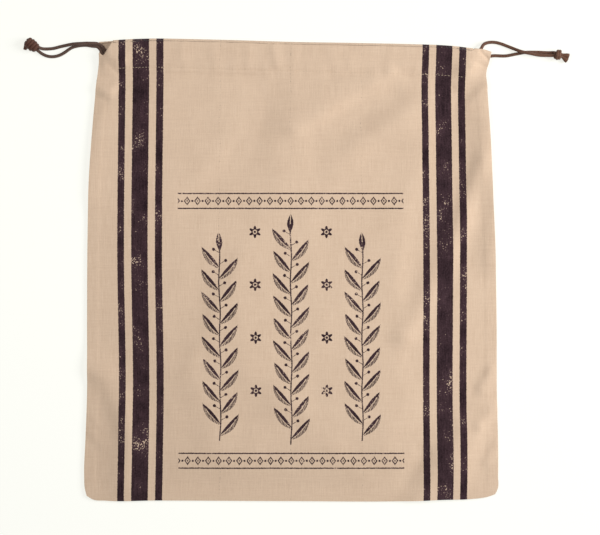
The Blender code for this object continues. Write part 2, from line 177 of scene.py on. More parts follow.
# Drawcords. Points run from the knot to the casing: x, y, z.
cords = {
    "step": 1.0,  # between the rings of a tube
    "sides": 16,
    "laneStep": 56,
    "laneEnd": 139,
    "turn": {
        "centre": 150,
        "lead": 4,
        "lift": 0.2,
        "degrees": (72, 36, 0, -36, -72),
        "wayDown": ((3.0, 5.3), (7.0, 3.5)),  # distance past the centre, height
    },
    "left": {
        "upper": (
            (-220.4, 194.0, 3.9), (-218.0, 192.9, 3.1),
            (-214.9, 192.5, 2.0), (-211.1, 192.6, onFloor),
            (-206.7, 193.1, onFloor), (-202.4, 194.2, onFloor),
            (-197.9, 195.2, 1.9), (-193.4, 196.0, 3.0),
            (-189.0, 196.6, 4.0), (-183.7, 196.9, 4.2),
            (-178.5, 197.2, 4.2), (-173.7, 197.2, 3.9),
            (-169.0, 197.0, backCord), (-165.2, 194.9, backCord),
            (-161.9, 190.9, backCord), (-156.4, 187.2, backCord),
            (-150.0, 188.6, 3.3), (-144.5, 191.6, 4.9),
        ),
        "lower": (
            (-221.2, 191.5, 2.2), (-218.7, 189.4, 1.6),
            (-215.8, 187.6, onFloor), (-212.0, 186.2, onFloor),
            (-207.6, 185.8, onFloor), (-203.2, 186.6, onFloor),
            (-199.3, 188.3, onFloor), (-195.4, 190.9, onFloor),
            (-191.5, 193.5, onFloor), (-186.7, 195.0, onFloor),
            (-181.4, 195.7, onFloor), (-177.1, 195.6, onFloor),
            (-172.9, 194.9, 1.8), (-169.0, 194.3, backCord),
            (-166.2, 191.7, backCord), (-162.8, 186.4, backCord),
            (-156.6, 182.0, backCord), (-149.6, 181.0, backCord),
        ),
        "length": 0.777,  # metres, from one side of the knot to the other
    },
    "right": {
        "upper": (
            (227.5, 186.5, 3.9), (221.9, 186.6, 3.5),
            (216.7, 186.8, 3.5), (211.4, 187.6, 4.0),
            (206.5, 188.5, 4.65), (201.8, 189.5, 4.65),
            (197.5, 191.0, 3.7), (192.9, 193.1, 1.9),
            (187.3, 195.4, onFloor), (181.7, 197.4, onFloor),
            (176.0, 198.4, onFloor), (171.2, 197.9, 1.9),
            (167.4, 195.9, 3.1), (165.5, 192.8, 4.3),
            (162.8, 190.6, 5.1), (157.2, 189.7, frontCord),
        ),
        "lower": (
            (227.8, 189.3, 1.9), (222.2, 189.3, onFloor),
            (217.0, 189.6, onFloor), (210.9, 189.7, onFloor),
            (204.8, 189.6, onFloor), (199.1, 188.7, onFloor),
            (193.0, 187.5, onFloor), (187.3, 186.5, onFloor),
            (181.2, 186.5, 1.7), (174.8, 186.3, backCord),
            (168.8, 184.6, backCord), (162.6, 181.6, backCord),
            (156.0, 179.4, backCord), (148.6, 178.8, backCord),
        ),
        "length": 0.783,  # the same
    },
}


def smoothRoute(points):
    # points a little apart along the natural cubic curve through a route's own points
    points = np.asarray(points, float)
    chords = np.linalg.norm(np.diff(points, axis=0), axis=1)
    system = np.eye(len(points))
    bend = np.zeros((len(points), 3))
    for i in range(1, len(points) - 1):
        system[i, i - 1 : i + 2] = (chords[i - 1], 2 * (chords[i - 1] + chords[i]), chords[i])
        ahead = (points[i + 1] - points[i]) / chords[i]
        bend[i] = 6 * (ahead - (points[i] - points[i - 1]) / chords[i - 1])
    bend = np.linalg.solve(system, bend)
    found = []
    for i, step in enumerate(chords):
        count = max(1, round(step / cords["step"]))
        for t in np.arange(count) / count * step:
            left = step - t
            straight = (points[i] * left + points[i + 1] * t) / step
            before = bend[i] * (left**3 / step - step * left)
            after = bend[i + 1] * (t**3 / step - step * t)
            found.append(straight + (before + after) / 6)
    return np.array([*found, points[-1]])


def cordLane(name, height, start, end):
    count = round(abs(end - start) / cords["laneStep"]) + 1
    return [(x, topEdge(x) - casing["lanes"][name], height) for x in np.linspace(start, end, count)]


def cordTurn(side, front, back):
    # where a cord turns back from the front casing into the back one
    turn = cords["turn"]
    centre = side * turn["centre"]
    high = topEdge(centre) - casing["lanes"][front]
    low = topEdge(centre) - casing["lanes"][back]
    radius = (high - low) / 2
    points = [(centre - side * turn["lead"], high, frontCord + turn["lift"])]
    for degrees in turn["degrees"]:
        angle = math.radians(degrees)
        x = centre + side * radius * math.cos(angle)
        points.append((x, low + radius + radius * math.sin(angle), crossing))
    for past, height in turn["wayDown"]:
        x = centre - side * past
        points.append((x, topEdge(x) - casing["lanes"][back], height))
    return points


def cordRoute(side):
    sign = {"left": 1, "right": -1}[side]
    stop = cords["laneEnd"]
    return smoothRoute([
        *cords[side]["upper"],
        *cordLane(side + "Front", frontCord, -sign * stop, sign * stop),
        *cordTurn(sign, side + "Front", side + "Back"),
        *cordLane(side + "Back", backCord, sign * stop, -sign * stop),
        *reversed(cords[side]["lower"]),
    ])


def tubeMesh(name, lines, radius, sides):
    # round tubes along lines of points (x, y, z and, if given, a share of the radius)
    data = bpy.data.curves.new(name, "CURVE")
    data.dimensions = "3D"
    data.bevel_depth = radius * mm
    data.bevel_resolution = sides // 2 - 2
    data.use_fill_caps = True
    for line in lines:
        spline = data.splines.new("POLY")
        spline.points.add(len(line) - 1)
        for point, place in zip(spline.points, line):
            point.co = (*(value * mm for value in place[:3]), 1)
            point.radius = place[3] if len(place) > 3 else 1
    guide = bpy.data.objects.new(name + "Guide", data)
    bpy.context.scene.collection.objects.link(guide)
    evaluated = guide.evaluated_get(bpy.context.evaluated_depsgraph_get())
    mesh = bpy.data.meshes.new_from_object(evaluated)
    bpy.data.objects.remove(guide)
    mesh.name = name
    return mesh


def finishTube(mesh, braid):
    # its ends are loose until they are merged with its side, and its braid runs in metres
    shape = bmesh.new()
    shape.from_mesh(mesh)
    bmesh.ops.remove_doubles(shape, verts=shape.verts, dist=0.00001)
    shape.to_mesh(mesh)
    shape.free()
    for corner in mesh.uv_layers[0].data:
        corner.uv[1] *= braid


def keptMesh(shape, name):
    mesh = bpy.data.meshes.new(name)
    shape.to_mesh(mesh)
    shape.free()
    return mesh


def addPiece(name, mesh, material):
    piece = bpy.data.objects.new(name, mesh)
    bpy.context.scene.collection.objects.link(piece)
    mesh.materials.clear()
    mesh.materials.append(material)
    mesh.shade_smooth()
    return piece


# Small makers of shader nodes, used by every material.
def feed(tree, socket, value):
    if isinstance(value, bpy.types.NodeSocket):
        tree.links.new(value, socket)
    else:
        socket.default_value = value


def addNode(tree, kind, inputs=None, **settings):
    node = tree.nodes.new(kind)
    for name, value in settings.items():
        setattr(node, name, value)
    for key, value in (inputs or {}).items():
        feed(tree, node.inputs[key], value)
    return node


def calc(tree, operation, *values):
    return addNode(tree, "ShaderNodeMath", dict(enumerate(values)), operation=operation).outputs[0]


def chained(operation):
    # a sum, product or the like of two or more values
    def maker(tree, first, *others):
        for value in others:
            first = calc(tree, operation, first, value)
        return first

    return maker


plus = chained("ADD")
minus = chained("SUBTRACT")
times = chained("MULTIPLY")
smallest = chained("MINIMUM")
biggest = chained("MAXIMUM")


def unsigned(tree, value):
    return calc(tree, "ABSOLUTE", value)


def longSide(tree, x, y):
    return calc(tree, "SQRT", plus(tree, times(tree, x, x), times(tree, y, y)))


def within(tree, distance, edge):
    # 1 where a distance in millimetres is below zero, with a soft edge
    limits = {"Value": distance, "From Min": edge, "From Max": -edge}
    return addNode(tree, "ShaderNodeMapRange", limits, interpolation_type="SMOOTHSTEP").outputs[0]


def spread(tree, value, low, high):
    limits = {"Value": value, "From Min": low, "From Max": high}
    return addNode(tree, "ShaderNodeMapRange", limits).outputs[0]


def uvPlace(tree):
    uv = addNode(tree, "ShaderNodeUVMap", uv_map="UVMap").outputs[0]
    return addNode(tree, "ShaderNodeSeparateXYZ", {0: uv}).outputs[:2]


def noiseAt(tree, across, along, scale, detail=2.0, shift=0.0):
    # noise on the cloth, whose grain may be longer one way than the other
    place = addNode(tree, "ShaderNodeCombineXYZ", {"X": across, "Y": along, "Z": shift}).outputs[0]
    inputs = {"Vector": place, "Scale": scale, "Detail": detail, "Roughness": 0.55}
    return addNode(tree, "ShaderNodeTexNoise", inputs).outputs["Fac"]


def blendColour(tree, share, first, second):
    node = tree.nodes.new("ShaderNodeMix")
    node.data_type = "RGBA"
    sockets = {s.identifier: s for s in node.inputs}
    values = {"Factor_Float": share, "A_Color": first, "B_Color": second}
    for key, value in values.items():
        feed(tree, sockets[key], value)
    return next(s for s in node.outputs if s.identifier == "Result_Color")


dullFinish = {"Specular IOR Level": 0.25, "Sheen Roughness": 0.5}


def linear(colour):
    # a screen colour of 0 to 255 as the shader takes it
    parts = [value / 255 for value in colour]
    return (*(v / 12.92 if v <= 0.04045 else ((v + 0.055) / 1.055) ** 2.4 for v in parts), 1)


def newMaterial(name, roughness, sheen):
    material = bpy.data.materials.new(name)
    material.use_nodes = True
    shader = material.node_tree.nodes["Principled BSDF"]
    finish = {"Roughness": roughness, "Sheen Weight": sheen, **dullFinish}
    for key, value in finish.items():
        shader.inputs[key].default_value = value
    return material, shader


def addRelief(tree, shader, height, strength, depth):
    inputs = {"Strength": strength, "Distance": depth * mm, "Height": height}
    feed(tree, shader.inputs["Normal"], addNode(tree, "ShaderNodeBump", inputs).outputs[0])


# The cord is braided cotton with a dull wax finish.
cordFinish = {
    # the left drawcord and left knot are coloured darker than the right ones: painted shade of the
    # bag's left side, which gets less light
    "leftDrawcord": {"light": (105, 81, 69), "dark": (67, 47, 39)},
    "rightDrawcord": {"light": (114, 78, 58), "dark": (76, 48, 35)},
    "leftKnot": {"light": (102, 67, 52), "dark": (64, 34, 24)},
    "rightKnot": {"light": (118, 82, 61), "dark": (76, 48, 35)},
    "plait": 1.1,  # length of one crossing of the braid
    "strands": 6,  # crossings round the cord
    "relief": 0.12,
    "roughness": 0.62,
    "sheen": 0.1,
}


def cordMaterial(name):
    finish = cordFinish
    material, shader = newMaterial(name + "Cotton", finish["roughness"], finish["sheen"])
    tree = material.node_tree
    across, along = uvPlace(tree)
    turns = times(tree, across, 2 * math.pi * finish["strands"])
    plaits = times(tree, along, math.pi / (finish["plait"] * mm))
    oneWay = calc(tree, "SINE", plus(tree, turns, plaits))
    otherWay = calc(tree, "SINE", minus(tree, turns, plaits))
    braid = biggest(tree, oneWay, otherWay)
    fibres = noiseAt(tree, across, times(tree, along, 90), 9, 4)
    patches = noiseAt(tree, across, times(tree, along, 60), 1.3, 2)
    # the cord's tone: painted shade in the grooves between the braid's crossings, with fibres and
    # patches that vary at random
    tone = plus(tree, times(tree, braid, 0.2), times(tree, fibres, 0.5), times(tree, patches, 0.5))
    tone = spread(tree, tone, 0.25, 0.85)
    dark, light = linear(finish[name]["dark"]), linear(finish[name]["light"])
    feed(tree, shader.inputs["Base Color"], blendColour(tree, tone, dark, light))
    height = plus(tree, times(tree, braid, 0.5), times(tree, fibres, 0.4))
    addRelief(tree, shader, height, 0.7, finish["relief"])
    return material


routes = {side: cordRoute(side) for side in ("left", "right")}

# Each cord's two ends are tied in one overhand knot. A tail is its length and how far it
# turns from the knot's heading.
knots = {
    "left": {
        "at": (-225.5, 195.4, 4.3),
        "heading": 140,
        "length": 14.2,
        "width": 10.4,
        "height": 8.2,
        "turns": 4.1,
        "lean": 0.72,
        "start": 215,
        "taper": (0.5, 0.95, 1.0, 0.82),
        "wrap": 1.75,  # radius of the wrapped strand
        "waist": 0.9,
        "tails": ((0.2, -8), (6.2, 117)),
        "flare": 1.15,
    },
    "right": {
        "at": (232.5, 187.1, 4.2),
        "heading": -8,
        "length": 6.9,
        "width": 9.4,
        "height": 8.0,
        "turns": 2.4,
        "lean": 0.54,
        "start": 160,
        "taper": (0.75, 1.0, 1.0, 0.75),
        "wrap": 1.45,
        "waist": 0.6,
        "tails": ((6.3, -26), (6.5, -4)),
        "flare": 1.75,
    },
    "strand": 1.34,  # radius of a cord pulled tight
    "overlap": 0.4,  # of an end and its drawcord
    "through": (-0.25, 0.2, 0.4),  # where the ends run, in shares of the knot's length
    "taperAt": (0, 0.3, 0.7, 1),
    "leanFrom": 0.6,  # radians
    "braid": 0.03,  # metres along each strand
    "wrapPoints": 90,
    "flareRings": 5,
}


def knotMesh(side):
    size = knots[side]
    strand = knots["strand"]
    heading = math.radians(size["heading"])
    ahead = np.array([math.cos(heading), math.sin(heading), 0])
    aside = np.array([-ahead[1], ahead[0], 0])
    up = np.array([0, 0, 1.0])
    centre = np.array(size["at"])
    enters, middle, leaves = (ahead * size["length"] * share for share in knots["through"])
    lines = []
    for ends, (tailLength, tailTurn) in zip(("upper", "lower"), size["tails"]):
        end, before = (np.array(point) for point in cords[side][ends][:2])
        into = (end - before) / np.linalg.norm(end - before)
        way = math.copysign(1, (end - centre) @ aside)
        beside = aside * way * strand
        bend = math.radians(tailTurn)
        tailWay = ahead * math.cos(bend) + aside * math.sin(bend)
        tailStart = centre + leaves + beside * size["waist"] - up * strand / 2
        tailEnd = tailStart + tailWay * tailLength
        tailEnd[2] = strand * size["flare"] + cloth["clear"]
        points = [
            end - into * knots["overlap"],
            end + into * strand,
            centre + enters + beside,
            centre + middle + beside,
            tailStart,
            tailStart * 0.5 + tailEnd * 0.5,
            tailEnd,
        ]
        line = smoothRoute(points)
        fromEnd = np.arange(len(line))[::-1]
        flare = 1 + (size["flare"] - 1) * eased(1 - fromEnd / knots["flareRings"])
        lines.append(np.column_stack([line, flare]))
    run = size["length"] - 2 * size["wrap"]
    wrap = []
    for share in np.linspace(0, 1, knots["wrapPoints"]):
        angle = math.radians(size["start"]) + 2 * math.pi * size["turns"] * share
        tucked = np.interp(share, knots["taperAt"], size["taper"])
        out = aside * (size["width"] / 2 - size["wrap"]) * math.cos(angle) * tucked
        raised = up * (size["height"] / 2 - size["wrap"]) * math.sin(angle) * tucked
        along = (share - 0.5) * run + size["lean"] * math.cos(angle + knots["leanFrom"])
        wrap.append(centre + ahead * along + out + raised)
    lines.append(np.column_stack([wrap, np.full(len(wrap), size["wrap"] / strand)]))
    return tubeMesh(side + "Knot", lines, strand, cords["sides"])


for side in ("left", "right"):
    route = routes[side]
    length = np.linalg.norm(np.diff(route, axis=0), axis=1).sum()
    mesh = tubeMesh(side + "Drawcord", [route], cloth["cord"] / 2, cords["sides"])
    finishTube(mesh, length * mm)
    drawcord = addPiece(side + "DrawcordBraid", mesh, cordMaterial(side + "Drawcord"))
    mesh = knotMesh(side)
    finishTube(mesh, knots["braid"])
    knot = addPiece(side + "KnotTied", mesh, cordMaterial(side + "Knot"))
    for piece, node in ((drawcord, side + "_drawcord"), (knot, side + "_knot")):
        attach(piece, "root")
        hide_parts(node)
    print(side, "drawcord", round(length, 1), "mm")

# Relief of the cloth: the air in the bag, the folds and the fine unevenness.
folds = (
    # from x, from y, to x, to y (downwards), half width on the right, on the left, height
    (50, 141, 31, 117, 25, 28, -2.3),
    (160, 163, 38, 106, 15, 17, 3.2),
    (85, 172, 4, 124, 8, 17, 2.9),
    (-24, 150, -43, 107, 19, 20, -2.0),
    (-52, 116, -103, 66, 15, 26, 2.1),
    (-36, -85, 78, -149, 52, 23, 2.2),
    (30, -100, -27, -149, 49, 38, -0.3),
    (-42, 4, -90, -91, 29, 10, 1.4),
    (-73, -106, -52, -198, 35, 16, 1.5),
    (89, 148, 37, 107, 12, 18, -2.3),
    (156, 89, 86, 99, 54, 17, -2.6),
    (-79, 121, -85, 81, 49, 44, -3.1),
    (4, -127, 69, -198, 17, 57, 2.2),
    (-127, -108, -19, -202, 35, 50, 0.8),
    (96, 52, 89, -87, 12, 60, 1.1),
    (49, 30, 94, -2, 60, 60, -2.7),
    (115, -161, 100, -185, 6, 8, -2.6),
)
borderFolds = (
    # the same, for those that cross the stripes and the seams
    (116, 114, 87, -11, 9, 15, 0.7),
    (149, 39, 100, -57, 9, 11, 2.5),
    (148, -141, 110, -204, 16, 12, 2.8),
    (171, 160, 156, 143, 16, 7, 2.5),
    (172, 141, 166, 115, 16, 15, 2.2),
    (177, 124, 171, 78, 16, 15, 2.5),
    (166, 95, 151, 53, 10, 8, 2.5),
    (182, 75, 176, 11, 15, 12, 2.6),
    (174, -88, 166, -102, 8, 5, 1.8),
    (178, -121, 164, -135, 5, 6, 2.0),
    (166, -122, 148, -180, 10, 16, 1.8),
    (-179, -86, -169, -89, 16, 9, 2.4),
    (-158, -102, -143, -141, 16, 10, 1.5),
    (-142, -127, -143, -185, 12, 16, 2.6),
    (-172, -130, -166, -136, 12, 3, 0.4),
    (-172, -143, -166, -150, 13, 5, 0.8),
    (-156, 151, -151, 151, 4, 5, 2.1),
    (-165, 179, -152, 174, 3, 4, 0.6),
    (-163, 140, -180, 68, 16, 10, 1.7),
    (170, 162, 146, 160, 5, 3, 1.5),
    (179, -151, 170, -166, 6, 4, 0.9),
    (-171, 158, -161, 154, 9, 3, 1.5),
    (-161, 154, -152, 160, 9, 3, 1.5),
)
casingFolds = (
    # the same, for the gathers along the casing
    (-16, 199, -13, 178, 4.5, 3, 0.8),
    (-95, 199, -96, 184, 4, 3, 0.45),
    (-37, 199, -38, 178, 4, 3, 0.45),
    (2, 199, 2, 184, 4, 3, 0.45),
    (34, 198, 36, 180, 5, 4, 0.4),
    (51, 185, 50, 168, 4, 3, 0.4),
    (88, 198, 84, 176, 5, 4, 0.35),
    (-70, 199, -66, 180, 6, 4, 0.35),
)
cornerCreases = (
    (164.7, 189.6, 171.6, 183.0, 1.3, 1.3, -1.2),
    (158, 181, 170, 176, 2, 2, -0.6),
    (-158, 178, -150, 170, 2.2, 2.2, -0.5),
)
ripples = (
    # wavelength x, wavelength y, start, height
    (71, 240, 0.4, 0.12),
    (-53, 97, 1.9, 0.12),
    (38, -61, 4.1, 0.08),
    (23, 210, 2.2, 0.05),
    (190, 27, 5.0, 0.06),
)
seam = {
    "width": 9.5,  # of the turnings inside
    "softness": 3,
    "height": 0.35,
    "step": 0.6,  # share of the height that ends with the turnings
    "edge": 0.15,  # width of the bag's upright edge
    "low": 1.07,
}
puckers = {
    "height": 0.13,
    "reach": 8,  # from the row of stitches
    "wave": 2.1,  # a wave's length over 2 pi
    "wander": {"wave": 17.0, "turn": 1.3},
    "second": {"wave": 3.7, "start": 2.0, "share": 0.7},
    "pastEnd": 22,  # of the casing
    "endFade": 20,
    "fromEdge": 2,  # of the bag
    "edgeFade": 8,
}
groove = {"depth": 0.15, "width": 1.4, "pastEnd": 26, "endFade": 6}  # under the stitches


def ridges(table, x, y):
    total = np.zeros_like(x)
    for fromX, fromY, toX, toY, rightWidth, leftWidth, height in table:
        runX, runY = toX - fromX, toY - fromY
        share = ((x - fromX) * runX + (y - fromY) * runY) / (runX**2 + runY**2)
        share = np.clip(share, 0, 1)
        aside = np.hypot(x - fromX - runX * share, y - fromY - runY * share)
        offLine = (runX * (y - fromY) - runY * (x - fromX)) / math.hypot(runX, runY)
        toRight = offLine / np.maximum(aside, 0.001)  # from -1 on the left to 1 on the right
        width = (rightWidth + leftWidth + (rightWidth - leftWidth) * toRight) / 2
        total += height * np.exp(-((aside / width) ** 2))
    return total


def unevenness(x, y):
    total = np.zeros_like(x)
    for waveX, waveY, start, height in ripples:
        total += height * np.sin(2 * math.pi * (x / waveX + y / waveY) + start)
    return total


def beforeEnd(x, size):
    # 1 along the casing, falling to 0 past its ends
    return eased((casing["end"] + size["pastEnd"] - np.abs(x)) / size["endFade"])


def puckerHeight(x, fromStitch, inside):
    wander, second = puckers["wander"], puckers["second"]
    waves = np.sin(x / puckers["wave"] + wander["turn"] * np.sin(x / wander["wave"]))
    waves = waves + second["share"] * np.sin(x / second["wave"] + second["start"])
    height = puckers["height"] * waves * np.exp(-np.abs(fromStitch) / puckers["reach"])
    fromEdge = eased((inside - puckers["fromEdge"]) / puckers["edgeFade"])
    return height * (beforeEnd(x, puckers) * fromEdge)


def grooveDepth(x, fromStitch):
    depth = groove["depth"] * np.exp(-((fromStitch / groove["width"]) ** 2))
    return depth * beforeEnd(x, groove)


def layerHeight(name, depth):
    section = casing["section"][name]
    return readCurve(section["depth"], section["height"], depth)


draping = {
    "over": 1.95,  # height of the cloth over a cord's middle
    "shoulder": 2.9,
    "slope": math.tan(math.radians(48)),
    "belowHem": 0.35,  # slope below the hem
    "topBand": 1,  # below the top edge, with no folds
    "foldFade": 3,
    "rippleShare": 0.5,
    "pastEnd": 2,  # of the casing
    "pastHem": 0.8,
    "cordsFrom": 136,
    "tautRounds": 90,
    "softRounds": 4,
}
everyCord = np.concatenate([routes["left"], routes["right"]])
cornerCords = everyCord[np.abs(everyCord[:, 0]) > draping["cordsFrom"]]


def bodyHeight(x, y, fromSide, fromBottom):
    inside = np.minimum(fromSide, fromBottom)
    upright = eased(inside / seam["edge"])
    pastTurnings = eased((inside - seam["width"]) / seam["softness"] + 0.5)
    allowance = seam["height"] * (upright - seam["step"] * pastTurnings)
    relief = cloth["loft"] + ridges(folds, x, y) + unevenness(x, y)
    loft = eased(fromSide / cloth["sideFade"]) * eased(fromBottom / cloth["bottomFade"])
    loft = loft * np.maximum(cloth["leastLoft"], relief)
    height = seam["low"] + (backLow - seam["low"]) * upright + allowance
    return np.maximum(seam["low"], height + loft + ridges(borderFolds, x, y) * upright)


def casingHeight(x, y, depth):
    folded = ridges(casingFolds, x, y) * eased((depth - draping["topBand"]) / draping["foldFade"])
    pastEnd = np.maximum(0, np.abs(x) - casing["end"] - draping["pastEnd"])
    pastHem = np.maximum(0, depth - casing["depth"] - draping["pastHem"])
    height = layerHeight("front", depth) + draping["rippleShare"] * unevenness(x, y) + folded
    return height - draping["slope"] * pastEnd - draping["belowHem"] * pastHem


def overCords(x, y, highest):
    # the cloth hangs over the cords at the corners, where every second point is enough
    for point in cornerCords[::2]:
        aside = np.hypot(point[0] - x, point[1] - y)
        fall = draping["slope"] * np.maximum(0, aside - draping["shoulder"])
        highest = np.maximum(highest, point[2] + draping["over"] - fall)
    return highest


def frontHeight(x, y):
    # height of the middle of the front's outer layer
    depth = topEdge(x) - y
    fromStitch = depth - stitchDepth(x)
    fromSide = np.minimum(x - sideEdge("left", y), sideEdge("right", y) - x)
    fromBottom = y - bottomEdge(x)
    inside = np.minimum(fromSide, fromBottom)
    height = np.maximum(bodyHeight(x, y, fromSide, fromBottom), casingHeight(x, y, depth))
    height = overCords(x, y, height)
    pucker = puckerHeight(x, fromStitch, inside) * (depth > draping["topBand"])
    return height + pucker - grooveDepth(x, fromStitch)


def around(heights):
    padded = np.pad(heights, 1, mode="edge")
    return (padded[2:, 1:-1] + padded[:-2, 1:-1] + padded[1:-1, 2:] + padded[1:-1, :-2]) / 4


def drawnTaut(heights, free):
    # pulled smooth where the cloth is free, and not below what holds it up
    heldUp = heights.copy()
    for _ in range(draping["tautRounds"]):
        heights = np.where(free, np.maximum(heldUp, around(heights)), heights)
    for _ in range(draping["softRounds"]):
        heights = np.where(free, (heights + around(heights)) / 2, heights)
    return heights


def onOutline(share, depth=None, heightShare=None):
    # where a point of the flat panel lies: so far down from the top, or so far up the body
    x = (share - 0.5) * cloth["width"]
    bodyTop = casing["bodyTop"]
    for _ in range(4):
        # x and y follow from each other, so a few rounds find both
        top = topEdge(x)
        low = bottomEdge(x)
        y = top - depth if depth is not None else low + heightShare * (top - bodyTop - low)
        left = sideEdge("left", y)
        x = left + (sideEdge("right", y) - left) * share
    return x, y


panels = {
    # columns: how many and how wide beside each edge, and how many between
    "front": {
        "hem": "frontHem",
        "columns": {"left": (30, 27.4), "middle": 112, "right": (34, 34.2)},
        "bodyRows": 150,
        "mouth": casing["mouth"],
        "drop": casing["notch"]["drop"],
    },
    "back": {
        "hem": "backHem",
        "columns": {"left": (14, 27.4), "middle": 70, "right": (14, 34.2)},
        "bodyRows": 70,
        "mouth": {"left": -400, "right": 400},
        "drop": (0, 0, 0, 0, 0, 0),
    },
    "topWidth": 341.8,
    "bodyHeight": 370,
    "topRow": 2.0,  # below the top edge, where the even rows stop
    "margin": 0.5,  # kept at the ends of the mouth and of the hems
    "outerStep": 1.2,
    "hemStep": 1.1,
    "foldAngles": (112, 135, 158, 180, 202, 225, 248, 270),  # round the fold, from 90
}


def borderShares(count, width):
    # from the outside in, with the upright edge first
    return np.append(0, np.linspace(seam["edge"], width, count + 1)) / panels["topWidth"]


def columnShares(columns):
    left = borderShares(*columns["left"])
    right = 1 - borderShares(*columns["right"])[::-1]
    middle = np.linspace(left[-1], right[0], columns["middle"] + 1)[1:-1]
    return np.concatenate([left, middle, right])


drift = {
    # how far the stripes wander to the right of straight, at each height
    "y": (-202, -193, -113, 17, 110, 157, 192, 202),
    "left": (-0.9, -0.7, 0.8, -0.8, -0.1, 0.5, 0.8, 0.9),
    "right": (0.3, 0.4, -0.2, 0.2, -0.9, -1.6, -0.8, -0.6),
}


def printShift(x, y):
    left = readCurve(drift["y"], drift["left"], y)
    right = readCurve(drift["y"], drift["right"], y)
    share = eased((x + casing["end"]) / (2 * casing["end"]))
    return left * (1 - share) + right * share


def panelMesh(name, style, outerHeight):
    # up the outer layer, round the fold at the top and down the hem
    shares = columnShares(style["columns"])
    hemLow = float(layerHeight(style["hem"], cloth["solid"]))
    edge = cloth["solid"] / 2
    mouth = style["mouth"]
    foldX, foldY = onOutline(shares, depth=cloth["solid"])
    radius = (outerHeight(foldX, foldY) - hemLow) / 2
    margin = panels["margin"]
    isOpen = (foldX < mouth["left"] - margin) | (foldX > mouth["right"] + margin)
    drop = np.interp(foldX, casing["notch"]["x"], style["drop"])

    lowest = seam["edge"] / panels["bodyHeight"]
    heightShares = np.append(0, np.linspace(lowest, 1, style["bodyRows"] + 1)[:-1])
    rows = [onOutline(shares, heightShare=share) for share in heightShares]
    bodyTop = casing["bodyTop"]
    for value in np.arange(bodyTop, panels["topRow"], -panels["outerStep"]):
        rows.append(onOutline(shares, depth=drop + value * (bodyTop - drop) / bodyTop))
    rows.append(onOutline(shares, depth=edge + np.where(isOpen, drop, np.abs(radius))))
    outerCount = len(rows)
    flatX, flatY = np.array(rows).transpose(1, 0, 2)
    heights = outerHeight(flatX, flatY)
    isAside = np.abs(flatX) > casing["end"] - casing["cornerLead"]
    heights = drawnTaut(heights, isAside & (topEdge(flatX) - flatY < bodyTop))
    heights = heights + ridges(cornerCreases, flatX, flatY) * (name == "front")

    places = list(np.stack([flatX, flatY, heights], axis=-1))
    kinds = ["outer"] * outerCount
    last = places[-1]
    radius = (last[:, 2] - hemLow) / 2
    for degrees in panels["foldAngles"]:
        angle = math.radians(degrees)
        x, y = onOutline(shares, depth=edge + np.abs(radius) * (1 + math.cos(angle)))
        fold = np.column_stack([x, y, hemLow + radius + radius * math.sin(angle)])
        places.append(np.where(isOpen[:, None], last, fold))
        kinds.append("fold")
    lipDepth = edge + np.abs(radius) + casing["lip"]
    x, y = onOutline(shares, depth=lipDepth)
    places.append(np.column_stack([x, y, layerHeight(style["hem"], lipDepth)]))
    kinds.append("lip")
    for value in np.arange(casing["hemStart"], casing["depth"] + 0.1, panels["hemStep"]):
        x, y = onOutline(shares, depth=value)
        hem = np.full_like(x, layerHeight(style["hem"], value))
        places.append(np.column_stack([x, y, hem]))
        kinds.append("hem")
    places = np.array(places)
    steps = np.linalg.norm(np.diff(places, axis=0), axis=2)
    running = places[:, :, 1].copy()
    for i in range(outerCount, len(places)):
        running[i] = running[i - 1] + steps[i - 1]
    across = places[:, :, 0] - printShift(places[:, :, 0], places[:, :, 1])

    shape = bmesh.new()
    bmesh.ops.create_grid(shape, x_segments=len(shares) - 1, y_segments=len(places) - 1, size=1)
    uvMap = shape.loops.layers.uv.new("UVMap")
    stations = {}
    for vert in shape.verts:
        column = round((vert.co.x + 1) / 2 * (len(shares) - 1))
        row = round((vert.co.y + 1) / 2 * (len(places) - 1))
        stations[vert] = (column, row)
    removed = []
    for face in shape.faces:
        columns = [stations[vert][0] for vert in face.verts]
        row = min(stations[vert][1] for vert in face.verts)
        kind = kinds[row + 1]
        pastHem = kind == "hem" and np.abs(foldX[columns]).max() > casing["end"] + margin
        atMouth = kind in ("fold", "lip") and isOpen[columns].any()
        if pastHem or atMouth:
            removed.append(face)
        for loop in face.loops:
            column, row = stations[loop.vert]
            loop[uvMap].uv = (across[row, column] * mm, running[row, column] * mm)
    for line in shape.edges:
        # the crease over the upright edge
        first, second = (stations[vert] for vert in line.verts)
        atSide = first[0] == second[0] and first[0] in (1, len(shares) - 2)
        line.smooth = not (atSide or first[1] == second[1] == 1)
    for vert, (column, row) in stations.items():
        vert.co = places[row, column] * mm
    bmesh.ops.delete(shape, geom=removed, context="FACES")
    return keptMesh(shape, name + "Panel")


# The linen is undyed, with slubs in its yarns and a dark print that has worn a little.
linen = {
    "light": (229, 203, 177),
    "dark": (206, 178, 152),
    "ink": (28, 7, 15),
    "wornInk": (77, 54, 60),
    "yarn": 0.55,  # between the yarns
    "weaveRelief": 0.10,
    "roughness": 0.92,
    "sheen": 0.12,
    "ragged": 1.1,  # how far the print's edges wander
    "softEdge": 0.22,
    "wear": (0.7, 0.79),  # noise from which the print is worn through
}
stripes = (
    # middle, half width
    (-147.7, 2.95),
    (-131.3, 7.2),
    (-114.7, 3.1),
    (117.8, 2.9),
    (133.9, 7.0),
    (149.9, 3.05),
)
bandPrint = {
    "centre": -53,  # height between the two bands
    "apart": 113,  # from there to each band
    "long": 98,  # half length
    "ruleAt": 6.5,  # from a band's middle to its rules
    "rule": 0.55,
    "pitch": 9.0,
    "lozenge": (2.9, 3.9),  # half width, half height
    "ring": (0.8, 0.2),  # its middle and half width, in shares of the lozenge
    "core": 0.24,
    "shareSize": 2.4,  # millimetres of one share
    "dot": 0.95,
}
